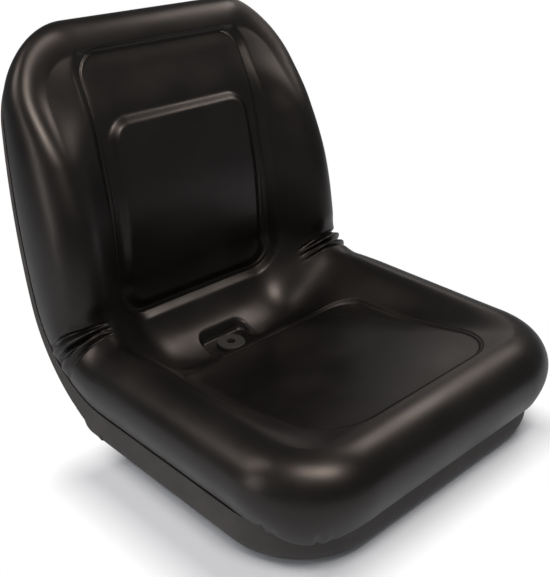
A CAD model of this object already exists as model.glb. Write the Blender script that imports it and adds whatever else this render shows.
import math

import bpy
import numpy as np
from mathutils import Matrix, Vector


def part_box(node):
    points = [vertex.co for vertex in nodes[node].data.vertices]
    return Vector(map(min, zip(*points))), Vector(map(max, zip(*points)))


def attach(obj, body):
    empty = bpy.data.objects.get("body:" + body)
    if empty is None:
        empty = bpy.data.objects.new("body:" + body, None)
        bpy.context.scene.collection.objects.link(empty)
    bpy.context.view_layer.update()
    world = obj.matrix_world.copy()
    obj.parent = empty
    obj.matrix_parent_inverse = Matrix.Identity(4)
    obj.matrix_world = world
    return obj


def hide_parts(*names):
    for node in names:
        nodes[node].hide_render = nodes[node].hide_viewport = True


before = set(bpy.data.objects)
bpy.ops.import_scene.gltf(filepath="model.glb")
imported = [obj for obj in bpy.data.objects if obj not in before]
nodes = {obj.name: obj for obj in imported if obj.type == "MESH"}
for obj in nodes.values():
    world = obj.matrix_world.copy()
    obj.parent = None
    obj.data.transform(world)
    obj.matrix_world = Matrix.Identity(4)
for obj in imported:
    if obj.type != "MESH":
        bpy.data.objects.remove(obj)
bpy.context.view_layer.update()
panLow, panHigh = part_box("seat_pan")
drainLow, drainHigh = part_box("drain_grommet")
print("frame loaded")

# the line where cover and pan meet, followed along the spine from the front to the top
rim = {
    "sideInset": 0.001,         # the pan stands this far inside the rim
    "frontInset": 0.012,
    "height": 0.051,
    "bendStart": 0.144,         # y where the seat turns up into the back
    "bendRadius": 0.130,
    "lean": math.radians(14),
    "topHeight": 0.456,
    "frontCorner": 0.097,
    "topCorner": 0.088,
    "narrowing": 0.033,         # half width lost towards the top
}
rim["halfWidth"] = panHigh.x + rim["sideInset"]
rim["frontY"] = panLow.y - rim["frontInset"]
seatRun = rim["bendStart"] - rim["frontY"]
bendTurn = math.pi / 2 - rim["lean"]
bendEnd = seatRun + rim["bendRadius"] * bendTurn
bendEndHeight = rim["height"] + rim["bendRadius"] * (1 - math.cos(bendTurn))
backRun = (rim["topHeight"] - bendEndHeight) / math.cos(rim["lean"])
spineLength = bendEnd + backRun

# cushion heights stand square to the rim surface, as (place along the spine, height)
cushion = {
    "rollWidth": 0.038,
    "bulge": 0.0154,            # side wall over the rim, on the seat and on the back
    "backBulge": 0.0085,
    "across": 88,               # quads across and along the middle, before the subdivision
    "along": 168,
    "wallRings": 12,
    "hemLift": 0.0030,          # gap between the hem and the pan
    "hemRoll": 0.0020,
    "hemTurn": 0.0070,          # edge turned in under the hem
    "middle": [
        (0.0, 0.078), (0.040, 0.078), (0.058, 0.075), (0.180, 0.048), (0.326, 0.015),
        (0.345, 0.0), (0.358, -0.008), (0.400, -0.004), (0.440, 0.006), (0.480, 0.018),
        (0.540, 0.037), (0.620, 0.050), (0.702, 0.053), (0.764, 0.043), (0.798, 0.037),
        (spineLength, 0.036),
    ],
    "crest": [
        (0.0, 0.078), (0.040, 0.078), (0.150, 0.077), (0.300, 0.077), (0.390, 0.072),
        (0.430, 0.070), (0.500, 0.084), (0.581, 0.090), (0.661, 0.079), (0.748, 0.043),
        (spineLength, 0.018),
    ],
    "levelHalf": [
        (0.0, 0.140), (0.058, 0.140), (0.326, 0.112), (0.358, 0.094), (0.440, 0.094),
        (0.540, 0.112), (0.700, 0.119), (spineLength, 0.118),
    ],
}
# the nearest front corner, where the hem sags and tucks
corner = {
    "x": -0.2026, "s": 0.0284, "sag": 0.0140, "width": 0.042,
    # tucks: way round the corner, depth, width, reach up the wall
    "tucks": [(-0.046, 0.0018, 0.0030, 0.16), (-0.034, 0.0012, 0.0024, 0.12),
              (0.010, 0.0026, 0.0026, 0.22), (0.024, 0.0012, 0.0030, 0.14)],
}


def ease(t):
    t = np.clip(t, 0.0, 1.0)
    return t * t * (3 - 2 * t)


def bump(distance, width):
    return np.exp(-(distance / width) ** 2)


# smooth line through its stops, without overshoot
def follow(stops, s):
    places, values = (np.array(column) for column in zip(*stops))
    run = np.diff(places)
    rise = np.diff(values) / run
    before, after = rise[:-1], rise[1:]
    total = np.where(before * after > 0, before + after, 1.0)
    slope = np.where(before * after > 0, 2 * before * after / total, 0.0)
    slope = np.concatenate([rise[:1], slope, rise[-1:]])
    s = np.clip(s, places[0], places[-1])
    k = np.clip(np.searchsorted(places, s, side="right") - 1, 0, len(run) - 1)
    t = (s - places[k]) / run[k]
    start = (1 + 2 * t) * (1 - t) ** 2 * values[k] + t * (1 - t) ** 2 * run[k] * slope[k]
    end = t * t * (3 - 2 * t) * values[k + 1] + t * t * (t - 1) * run[k] * slope[k + 1]
    return start + end


def narrowed(s):
    share = np.clip(s - bendEnd, 0.0, None) / backRun
    return 1 - rim["narrowing"] / rim["halfWidth"] * share * share


# point at x across and s along the rim surface, raised square to it
def onRim(x, s, height):
    turn = np.clip((s - seatRun) / rim["bendRadius"], 0.0, bendTurn)
    rest = np.clip(s - bendEnd, 0.0, None)
    y = np.minimum(s, seatRun) + rim["frontY"] + rim["bendRadius"] * np.sin(turn)
    y = y + rest * math.sin(rim["lean"]) - height * np.sin(turn)
    z = rim["height"] + rim["bendRadius"] * (1 - np.cos(turn))
    z = z + rest * math.cos(rim["lean"]) + height * np.cos(turn)
    return np.stack([x * narrowed(s), y, z], -1)


def cushionHeight(x, s):
    crestX = rim["halfWidth"] - cushion["rollWidth"]
    level = follow(cushion["levelHalf"], s)
    rise = ease((np.abs(x) - level) / (crestX - level))
    return follow(cushion["middle"], s) * (1 - rise) + follow(cushion["crest"], s) * rise


# the rim drawn in by inset, as four sides: front, right, top, left
def rimSides(inset):
    w = rim["halfWidth"] - inset
    low, high = inset, spineLength - inset
    rf, rt = rim["frontCorner"] - inset, rim["topCorner"] - inset
    # centre, radius and middle direction of each corner
    corners = [(-w + rf, low + rf, rf, 225), (w - rf, low + rf, rf, 315),
               (w - rt, high - rt, rt, 405), (-w + rt, high - rt, rt, 495)]

    def onArc(corner, degrees):
        cx, cy, r, middle = corner
        a = np.radians(middle + degrees)
        return np.stack([cx + r * np.cos(a), cy + r * np.sin(a)], -1)

    def side(first, last, count):
        a, b = onArc(first, 45), onArc(last, -45)
        arcA, arcB = first[2] * math.pi / 4, last[2] * math.pi / 4
        straight = np.linalg.norm(b - a)
        way = np.linspace(0, arcA + straight + arcB, count + 1)
        early, late = way < arcA, way > arcA + straight
        points = a + (b - a) * ((way - arcA) / straight)[:, None]
        points[early] = onArc(first, 45 * way[early] / arcA)
        points[late] = onArc(last, 45 * ((way[late] - arcA - straight) / arcB - 1))
        return points

    across, along = cushion["across"], cushion["along"]
    return [side(corners[0], corners[1], across), side(corners[1], corners[2], along),
            side(corners[2], corners[3], across), side(corners[3], corners[0], along)]


def asLoop(sides):
    return np.vstack([points[:-1] for points in sides])


# grid inside the four sides, drawn from all of them
def fillIn(sides):
    front, right, top, left = sides[0], sides[1], sides[2][::-1], sides[3][::-1]
    u = np.linspace(0, 1, len(front))[None, :, None]
    v = np.linspace(0, 1, len(left))[:, None, None]
    corners = (1 - u) * (1 - v) * front[0] + u * (1 - v) * front[-1]
    corners = corners + (1 - u) * v * top[0] + u * v * top[-1]
    return (1 - v) * front + v * top + (1 - u) * left[:, None] + u * right[:, None] - corners


# hem height over the rim: a narrow gap all round, and a sag at the nearest corner
def hemHeight(loop):
    away = np.hypot(loop[:, 0] - corner["x"], loop[:, 1] - corner["s"])
    return cushion["hemLift"] - corner["sag"] * bump(away, corner["width"])


# cover as one skin: hem turned in, wall rings up to the crest, then the middle grid
def coverSkin():
    crestSides = rimSides(cushion["rollWidth"])
    crestLoop = asLoop(crestSides)
    crestHeight = cushionHeight(crestLoop[:, 0], crestLoop[:, 1])
    foot = hemHeight(asLoop(rimSides(0.0)))
    roll, turn = cushion["hemRoll"], cushion["hemTurn"]
    net, points, levels = [], [], []
    for inset, lift in ((turn, 2 * roll), (turn, 0.0), (roll, 0.0), (roll / 3, roll / 3)):
        loop = asLoop(rimSides(inset))
        net.append(loop)
        points.append(onRim(loop[:, 0], loop[:, 1], foot + lift))
        levels.append(np.zeros(len(loop)))
    for k in range(cushion["wallRings"]):
        phi = math.pi / 2 * k / cushion["wallRings"]
        inset = cushion["rollWidth"] * (1 - math.cos(phi))
        swell = math.sin(2 * phi) * math.sqrt(math.cos(phi))
        onSeat = asLoop(rimSides(inset - cushion["bulge"] * swell))
        onBack = asLoop(rimSides(inset - cushion["backBulge"] * swell))
        loop = onSeat + (onBack - onSeat) * ease((onSeat[:, 1:] - seatRun) / (bendEnd - seatRun))
        net.append(loop)
        low = foot + roll
        points.append(onRim(loop[:, 0], loop[:, 1], low + (crestHeight - low) * math.sin(phi)))
        levels.append(np.full(len(loop), math.sin(phi)))
    grid = fillIn(crestSides)
    rows, columns = grid.shape[:2]
    flat = grid.reshape(-1, 2)
    net.append(flat)
    points.append(onRim(flat[:, 0], flat[:, 1], cushionHeight(flat[:, 0], flat[:, 1])))
    levels.append(np.ones(len(flat)))
    count, ringTotal = len(crestLoop), len(net) - 1
    faces = []
    for ring in range(ringTotal - 1):
        a, b = ring * count, (ring + 1) * count
        faces += [(a + i, a + (i + 1) % count, b + (i + 1) % count, b + i) for i in range(count)]
    base = ringTotal * count
    edge = [base + i for i in range(columns - 1)]
    edge += [base + j * columns + columns - 1 for j in range(rows - 1)]
    edge += [base + (rows - 1) * columns + i for i in range(columns - 1, 0, -1)]
    edge += [base + j * columns for j in range(rows - 1, 0, -1)]
    last = (ringTotal - 1) * count
    faces += [(last + i, last + (i + 1) % count, edge[(i + 1) % count], edge[i])
              for i in range(count)]
    for j in range(rows - 1):
        a = base + j * columns
        faces += [(a + i, a + i + 1, a + columns + i + 1, a + columns + i)
                  for i in range(columns - 1)]
    return np.vstack(points), np.vstack(net), np.concatenate(levels), faces


def newPiece(name, points, faces):
    mesh = bpy.data.meshes.new(name)
    mesh.from_pydata([tuple(p) for p in points], [], faces)
    mesh.validate()
    mesh.shade_smooth()
    piece = bpy.data.objects.new(name, mesh)
    bpy.context.scene.collection.objects.link(piece)
    return piece


def readLayer(mesh, name):
    values = np.zeros(len(mesh.vertices))
    mesh.attributes[name].data.foreach_get("value", values)
    return values


def addLayer(mesh, name, values):
    mesh.attributes.new(name, "FLOAT", "POINT").data.foreach_set("value", values)


def readPoints(mesh, what="co"):
    values = np.zeros(len(mesh.vertices) * 3)
    mesh.vertices.foreach_get(what, values)
    return values.reshape(-1, 3)


def writePoints(mesh, points):
    mesh.vertices.foreach_set("co", points.ravel())
    mesh.update()


def applyModifiers(piece):
    evaluated = piece.evaluated_get(bpy.context.evaluated_depsgraph_get())
    mesh = bpy.data.meshes.new_from_object(evaluated)
    piece.modifiers.clear()
    old, piece.data = piece.data, mesh
    bpy.data.meshes.remove(old)
    mesh.shade_smooth()


# signed distance to a rounded rectangle, below zero inside
def roundedBox(x, y, halfX, low, high, radius):
    halfY = (high - low) / 2
    dx = np.abs(x) - halfX + radius
    dy = np.abs(y - (low + high) / 2) - halfY + radius
    outside = np.hypot(np.maximum(dx, 0), np.maximum(dy, 0))
    return outside + np.minimum(np.maximum(dx, dy), 0) - radius


backPanel = {
    "halfWidth": 0.126, "low": 0.449, "high": 0.790, "radius": 0.032,
    "depth": 0.0060, "shoulder": 0.014, "lead": 0.8,    # share of the shoulder outside the line
    "padHigh": 0.709, "padInset": 0.014, "padFoot": 0.005, "padRadius": 0.032, "padRise": 0.0085,
    "padEdge": 0.014,
}
seatPanel = {
    "halfWidth": 0.144, "low": 0.050, "high": 0.326, "radius": 0.058,
    "depth": 0.0026, "edge": 0.007, "lead": 0.5,
}
waist = {
    # the folds start here on each bolster and spread a little towards the wall
    "leftX": 0.178, "rightX": 0.150, "centreS": 0.428, "innerSpread": 0.62,
    "span": 0.080, "wallSpan": 0.060, "fade": 0.026,
    "wobble": 0.0014, "waves": 70.0, "phase": 2.0,
    "innerWidth": 0.7,          # share of a fold's width at its inner end
    "hemFade": 0.3, "hemShare": 0.2,    # how the folds die out towards the hem
    # place at the wall, depth, width
    "creases": [(0.405, 0.0046, 0.0034), (0.429, 0.0080, 0.0040), (0.453, 0.0056, 0.0042)],
    "rolls": [(0.417, 0.0034, 0.0056), (0.441, 0.0042, 0.0058)],
    # the foot of each bolster is smoothed here, from and to across and along, before it is creased
    "softX": (0.050, 0.200), "softS": (0.270, 0.500), "softEdge": 0.050,
    "softSteps": 220, "softPull": 0.5,
}
drainPocket = {
    "halfWidth": 0.041, "ahead": 0.021, "behind": 0.027, "radius": 0.015,
    "wall": 0.006, "floor": 0.0442,
    "top": 0.15,                # the pocket sinks only what lies below this
}


# distance to the edges of the panels, for the forms here and the fine grooves of the material
def panelEdges(x, s):
    panel = backPanel
    up = np.clip((s - panel["low"]) / (panel["padHigh"] - panel["low"]), 0, 1)
    inset = panel["padFoot"] + (panel["padInset"] - panel["padFoot"]) * up
    return {
        "backEdge": roundedBox(x, s, panel["halfWidth"], panel["low"], panel["high"], panel["radius"]),
        "padEdge": roundedBox(x, s, panel["halfWidth"] - inset, panel["low"] + panel["padFoot"],
                              panel["padHigh"], panel["padRadius"]),
        "seatEdge": roundedBox(x, s, seatPanel["halfWidth"], seatPanel["low"], seatPanel["high"],
                               seatPanel["radius"]),
    }


# how far each point of the cover sinks or stands out, from the mould's own forms
def mouldedForms(edges, level):
    out = -backPanel["depth"] * ease(backPanel["lead"] - edges["backEdge"] / backPanel["shoulder"])
    out += backPanel["padRise"] * ease(-edges["padEdge"] / backPanel["padEdge"])
    out -= seatPanel["depth"] * ease(seatPanel["lead"] - edges["seatEdge"] / seatPanel["edge"])
    return out * (level > 0.999)


# evens out the foot of each bolster, where seat and back run into one another
def softenWaist(mesh, points, x, s):
    edge = waist["softEdge"]
    weight = np.full(len(points), waist["softPull"])
    for place, (low, high) in ((np.abs(x), waist["softX"]), (s, waist["softS"])):
        weight *= ease((place - low) / edge) * ease((high - place) / edge)
    ends = np.empty(len(mesh.edges) * 2, dtype=np.int32)
    mesh.edges.foreach_get("vertices", ends)
    first, second = ends[0::2], ends[1::2]
    count = np.bincount(ends, minlength=len(points))
    for _ in range(waist["softSteps"]):
        for axis in range(3):
            values = points[:, axis]
            total = (np.bincount(first, values[second], len(points))
                     + np.bincount(second, values[first], len(points)))
            points[:, axis] = values + weight * (total / count - values)
    return points


# creases and rolls where the cover bunches over each bolster, side by side out to its wall
def waistGathers(x, s, level):
    inner = np.where(x < 0, waist["leftX"], waist["rightX"])
    reach = np.abs(x) - inner + (1 - level) * waist["wallSpan"]
    share = np.clip(reach / waist["span"], 0, 1)
    spread = waist["innerSpread"] + (1 - waist["innerSpread"]) * share
    out = np.zeros(len(x))
    for sign, folds in ((-1, waist["creases"]), (1, waist["rolls"])):
        for k, (place, depth, width) in enumerate(folds):
            sway = waist["wobble"] * np.sin(waist["waves"] * reach + waist["phase"] * k + np.sign(x))
            line = waist["centreS"] + (place - waist["centreS"]) * spread + sway
            thick = width * (waist["innerWidth"] + (1 - waist["innerWidth"]) * share)
            out += sign * depth * bump(s - line, thick)
    return out * ease(reach / waist["fade"]) * ease(level / waist["hemFade"] + waist["hemShare"])


# small tucks at the nearest corner of the hem
def cornerTucks(x, s, level):
    way = (x - corner["x"] - (s - corner["s"])) / math.sqrt(2)
    near = (x < 0) & (s < rim["frontCorner"])
    out = np.zeros(len(x))
    for place, depth, width, reach in corner["tucks"]:
        out -= depth * bump(way - place, width) * ease(1 - level / reach)
    return out * near


def buildCushion():
    points, net, level, faces = coverSkin()
    piece = newPiece("vinylCushion", points, faces)
    addLayer(piece.data, "netX", net[:, 0])
    addLayer(piece.data, "netS", net[:, 1])
    addLayer(piece.data, "level", level)
    piece.modifiers.new("finer", "SUBSURF").levels = 1
    piece.modifiers["finer"].render_levels = 1
    applyModifiers(piece)
    print("cushion skin", len(piece.data.polygons), "faces")
    mesh = piece.data
    x, s, level = (readLayer(mesh, name) for name in ("netX", "netS", "level"))
    x = x * narrowed(s)
    points = softenWaist(mesh, readPoints(mesh), x, s)
    writePoints(mesh, points)
    normals = readPoints(mesh, "normal")
    edges = panelEdges(x, s)
    for name, distance in edges.items():
        addLayer(mesh, name, distance)
    out = mouldedForms(edges, level) + waistGathers(x, s, level) + cornerTucks(x, s, level)
    points = points + normals * out[:, None]
    drainY = (drainLow.y + drainHigh.y) / 2
    d = roundedBox(points[:, 0], points[:, 1], drainPocket["halfWidth"], drainY - drainPocket["ahead"],
                   drainY + drainPocket["behind"], drainPocket["radius"])
    sink = ease(-d / drainPocket["wall"]) * (points[:, 2] < drainPocket["top"])
    points[:, 2] += sink * np.minimum(drainPocket["floor"] - points[:, 2], 0.0)
    writePoints(mesh, points)
    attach(piece, "root")
    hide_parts("vinyl_cover", "foam_cushion")
    print("cushion sculpted")
    return piece


def newMaterial(name):
    material = bpy.data.materials.new(name)
    material.use_nodes = True
    tree = material.node_tree
    tree.nodes.clear()
    shader = tree.nodes.new("ShaderNodeBsdfPrincipled")
    output = tree.nodes.new("ShaderNodeOutputMaterial")
    tree.links.new(shader.outputs["BSDF"], output.inputs["Surface"])
    return material, tree, shader


def addNode(tree, kind, **values):
    node = tree.nodes.new(kind)
    for name, value in values.items():
        if name in node.inputs:
            node.inputs[name].default_value = value
        else:
            setattr(node, name, value)
    return node


def ramp(tree, source, low, high, first, last):
    node = addNode(tree, "ShaderNodeMapRange")
    for name, value in (("From Min", low), ("From Max", high), ("To Min", first), ("To Max", last)):
        node.inputs[name].default_value = value
    tree.links.new(source, node.inputs["Value"])
    return node.outputs["Result"]


def mixColour(tree, factor, first, second):
    node = addNode(tree, "ShaderNodeMix", data_type="RGBA")
    tree.links.new(factor, node.inputs["Factor"])
    node.inputs["A"].default_value = (*first, 1)
    node.inputs["B"].default_value = (*second, 1)
    return node.outputs["Result"]


# noise that stays with the piece
def pieceNoise(tree, scale, detail):
    place = addNode(tree, "ShaderNodeTexCoord").outputs["Object"]
    texture = addNode(tree, "ShaderNodeTexNoise", Scale=scale, Detail=detail)
    tree.links.new(place, texture.inputs["Vector"])
    return texture.outputs["Fac"]


# colour and roughness that wander with a noise
def mottle(tree, shader, noise, look):
    share = ramp(tree, noise, *look["spread"], 0.0, 1.0)
    tree.links.new(mixColour(tree, share, look["colour"], look["worn"]), shader.inputs["Base Color"])
    rough = ramp(tree, noise, 0.3, 0.7, *look["rough"])
    tree.links.new(rough, shader.inputs["Roughness"])


def relief(tree, height, strength, depth):
    node = addNode(tree, "ShaderNodeBump", Strength=strength, Distance=depth)
    tree.links.new(height, node.inputs["Height"])
    return node.outputs["Normal"]


vinylLook = {
    "colour": (0.0038, 0.0036, 0.0035), "worn": (0.0062, 0.0057, 0.0054), "sheen": (1.0, 0.92, 0.87),
    "patches": 14.0, "spread": (0.45, 0.75), "rough": (0.31, 0.41),
    "grain": 900.0, "grainDepth": 0.00012, "grainStrength": 0.35,
    "lineDepth": 0.0014,
    # height over the distance to a panel's edge: lip inside, groove on the line, frame outside
    "backEdge": [(-0.0120, 0.50), (-0.0075, 0.54), (-0.0050, 0.90), (-0.0030, 0.60),
                 (-0.0012, 0.0), (0.0008, 0.35), (0.0030, 0.50), (0.0060, 0.50)],
    "seatEdge": [(-0.0080, 0.50), (-0.0046, 0.52), (-0.0030, 0.22), (-0.0016, 0.56),
                 (0.0, 0.56), (0.0012, 0.25), (0.0028, 0.54), (0.0060, 0.50)],
}


# fine line along a panel's edge, laid over the normal it is given
def edgeLine(tree, layer, normal):
    stops = vinylLook[layer]
    first, last = stops[0][0], stops[-1][0]
    distance = addNode(tree, "ShaderNodeAttribute", attribute_name=layer).outputs["Fac"]
    profile = addNode(tree, "ShaderNodeValToRGB")
    profile.color_ramp.interpolation = "EASE"
    points = profile.color_ramp.elements
    for _ in stops[2:]:
        points.new(0.5)
    for point, (place, height) in zip(points, stops):
        point.position = (place - first) / (last - first)
        point.color = (height, height, height, 1)
    tree.links.new(ramp(tree, distance, first, last, 0.0, 1.0), profile.inputs["Fac"])
    line = addNode(tree, "ShaderNodeBump", Strength=1.0, Distance=vinylLook["lineDepth"])
    tree.links.new(profile.outputs["Color"], line.inputs["Height"])
    tree.links.new(normal, line.inputs["Normal"])
    return line.outputs["Normal"]


def vinylMaterial():
    look = vinylLook
    material, tree, shader = newMaterial("satinVinyl")
    mottle(tree, shader, pieceNoise(tree, look["patches"], 5.0), look)
    place = addNode(tree, "ShaderNodeTexCoord").outputs["Object"]
    cells = addNode(tree, "ShaderNodeTexVoronoi", Scale=look["grain"], feature="SMOOTH_F1")
    tree.links.new(place, cells.inputs["Vector"])
    normal = relief(tree, cells.outputs["Distance"], look["grainStrength"], look["grainDepth"])
    for layer in ("backEdge", "seatEdge"):
        normal = edgeLine(tree, layer, normal)
    tree.links.new(normal, shader.inputs["Normal"])
    shader.inputs["Specular Tint"].default_value = (*look["sheen"], 1)
    return material


panLook = {
    "colour": (0.062, 0.058, 0.055), "worn": (0.088, 0.083, 0.079),
    "dust": 22.0, "spread": (0.4, 0.7), "rough": (0.62, 0.78), "shine": 0.3,
    "grit": 1500.0, "gritDepth": 0.0002, "gritStrength": 0.3,
}


def panMaterial():
    look = panLook
    material, tree, shader = newMaterial("matteGreyPaint")
    mottle(tree, shader, pieceNoise(tree, look["dust"], 6.0), look)
    grit = pieceNoise(tree, look["grit"], 3.0)
    normal = relief(tree, grit, look["gritStrength"], look["gritDepth"])
    tree.links.new(normal, shader.inputs["Normal"])
    shader.inputs["Specular IOR Level"].default_value = look["shine"]
    return material


plasticLook = {
    "colour": (0.034, 0.034, 0.033), "worn": (0.048, 0.048, 0.046),
    "speckle": 420.0, "spread": (0.35, 0.65), "rough": (0.42, 0.56),
    "speckleDepth": 0.0002, "speckleStrength": 0.2,
}


def plasticMaterial():
    look = plasticLook
    material, tree, shader = newMaterial("mouldedPlastic")
    speckle = pieceNoise(tree, look["speckle"], 4.0)
    mottle(tree, shader, speckle, look)
    normal = relief(tree, speckle, look["speckleStrength"], look["speckleDepth"])
    tree.links.new(normal, shader.inputs["Normal"])
    return material


zincLook = {
    "colour": (0.55, 0.55, 0.53), "worn": (0.42, 0.42, 0.42),
    "bloom": 300.0, "spread": (0.35, 0.7), "rough": (0.28, 0.5),
}


def zincMaterial():
    look = zincLook
    material, tree, shader = newMaterial("zincPlate")
    mottle(tree, shader, pieceNoise(tree, look["bloom"], 6.0), look)
    shader.inputs["Metallic"].default_value = 1.0
    return material


def dress(piece, material):
    piece.data.materials.clear()
    piece.data.materials.append(material)


studio = {
    "floorSize": 9.0, "floorColour": (0.82, 0.89, 0.97), "floorRough": 0.6,
    "floorLift": 0.02,          # glow of the floor, for the camera alone
    "floorGap": 0.0005,         # the floor lies this far under the pan
    # the floor keeps its shadow around this box and turns plain white beyond it
    "shadeMiddle": (-0.04, -0.03, 0.0), "shadeHalf": (0.225, 0.145, 1.0), "shadeFade": 0.05,
    "world": 0.14,
    # name: place, aimed at, size, watts, colour
    "lamps": {
        "overhead": ((-0.34, -0.68, 1.68), (0.0, 0.0, 0.2), (0.45, 0.45), 14.0, (1.0, 0.90, 0.84)),
        "right": ((1.05, 0.0, 1.33), (0.0, 0.0, 0.1), (0.5, 0.5), 5.4, (1.0, 0.90, 0.84)),
        "leftBack": ((-1.04, 0.65, 1.40), (0.0, 0.05, 0.2), (0.3, 0.9), 6.0, (1.0, 0.91, 0.86)),
        "rightBack": ((1.37, 0.84, 0.84), (0.0, 0.05, 0.2), (0.6, 0.6), 0.9, (1.0, 0.92, 0.88)),
        "leftEdge": ((-1.50, 0.20, 0.60), (-0.2, 0.2, 0.35), (0.12, 0.9), 3.2, (1.0, 0.95, 0.93)),
    },
}


def aim(thing, place, target):
    thing.location = place
    thing.rotation_euler = (Vector(target) - Vector(place)).to_track_quat("-Z", "Y").to_euler()


def setStudio():
    size = studio["floorSize"]
    corners = [(-size, -size, 0), (size, -size, 0), (size, size, 0), (-size, size, 0)]
    floor = newPiece("studioFloor", corners, [(0, 1, 2, 3)])
    floor.location.z = panLow.z - studio["floorGap"]
    material, tree, shader = newMaterial("paleFloor")
    shader.inputs["Base Color"].default_value = (*studio["floorColour"], 1)
    shader.inputs["Roughness"].default_value = studio["floorRough"]
    seen = addNode(tree, "ShaderNodeLightPath").outputs["Is Camera Ray"]
    lift = addNode(tree, "ShaderNodeEmission")
    tree.links.new(ramp(tree, seen, 0.0, 1.0, 0.0, studio["floorLift"]), lift.inputs["Strength"])
    lit = addNode(tree, "ShaderNodeAddShader")
    tree.links.new(shader.outputs["BSDF"], lit.inputs[0])
    tree.links.new(lift.outputs["Emission"], lit.inputs[1])
    away = addNode(tree, "ShaderNodeTexCoord").outputs["Object"]
    middle, half = studio["shadeMiddle"], studio["shadeHalf"]
    for operation, value in (("SUBTRACT", middle), ("ABSOLUTE", middle), ("SUBTRACT", half),
                             ("MAXIMUM", (0, 0, 0)), ("LENGTH", half)):
        step = addNode(tree, "ShaderNodeVectorMath", operation=operation)
        tree.links.new(away, step.inputs[0])
        step.inputs[1].default_value = value
        away = step.outputs["Value" if operation == "LENGTH" else "Vector"]
    far = ramp(tree, away, 0.0, studio["shadeFade"], 0.0, 1.0)
    both = addNode(tree, "ShaderNodeMath", operation="MULTIPLY")
    tree.links.new(far, both.inputs[0])
    tree.links.new(seen, both.inputs[1])
    white = addNode(tree, "ShaderNodeEmission", Strength=1.0)
    shown = addNode(tree, "ShaderNodeMixShader")
    tree.links.new(both.outputs["Value"], shown.inputs["Fac"])
    tree.links.new(lit.outputs["Shader"], shown.inputs[1])
    tree.links.new(white.outputs["Emission"], shown.inputs[2])
    output = next(n for n in tree.nodes if n.type == "OUTPUT_MATERIAL")
    tree.links.new(shown.outputs["Shader"], output.inputs["Surface"])
    dress(floor, material)
    for name, (place, target, spread, watts, colour) in studio["lamps"].items():
        light = bpy.data.lights.new(name, "AREA")
        light.shape = "RECTANGLE"
        light.size, light.size_y = spread
        light.energy = watts
        light.color = colour
        lamp = bpy.data.objects.new(name, light)
        bpy.context.scene.collection.objects.link(lamp)
        aim(lamp, place, target)
    world = bpy.data.worlds.new("whiteRoom")
    world.use_nodes = True
    tree = world.node_tree
    tree.nodes.clear()
    back = addNode(tree, "ShaderNodeBackground", Color=(1, 1, 1, 1))
    path = addNode(tree, "ShaderNodeLightPath")
    level = ramp(tree, path.outputs["Is Camera Ray"], 0.0, 1.0, studio["world"], 1.0)
    tree.links.new(level, back.inputs["Strength"])
    output = addNode(tree, "ShaderNodeOutputWorld")
    tree.links.new(back.outputs["Background"], output.inputs["Surface"])
    bpy.context.scene.world = world
    bpy.context.scene.view_settings.view_transform = "Standard"
    print("studio set")


viewpoint = {
    "place": (-0.705147, -0.639097, 0.669737),
    "yaw": math.radians(43.914), "pitch": math.radians(26.743), "roll": math.radians(0.267),
    "focalPixels": 924.3, "imageHeight": 577, "sensor": 36.0,
}


def setCamera():
    v = viewpoint
    ahead = Vector((math.sin(v["yaw"]) * math.cos(v["pitch"]),
                    math.cos(v["yaw"]) * math.cos(v["pitch"]), -math.sin(v["pitch"])))
    right = Vector((math.cos(v["yaw"]), -math.sin(v["yaw"]), 0))
    up = right.cross(ahead)
    right, up = (right * math.cos(v["roll"]) + up * math.sin(v["roll"]),
                 up * math.cos(v["roll"]) - right * math.sin(v["roll"]))
    data = bpy.data.cameras.new("photoView")
    data.sensor_width = v["sensor"]
    data.lens = v["focalPixels"] * v["sensor"] / v["imageHeight"]
    camera = bpy.data.objects.new("photoView", data)
    bpy.context.scene.collection.objects.link(camera)
    turn = Matrix((right, up, -ahead)).transposed().to_4x4()
    camera.matrix_world = Matrix.Translation(v["place"]) @ turn
    bpy.context.scene.camera = camera
    print("camera set")


dress(buildCushion(), vinylMaterial())
dress(nodes["seat_pan"], panMaterial())
dress(nodes["drain_grommet"], plasticMaterial())
dress(nodes["mounting_nuts"], zincMaterial())
setStudio()
setCamera()

print("sizes written")
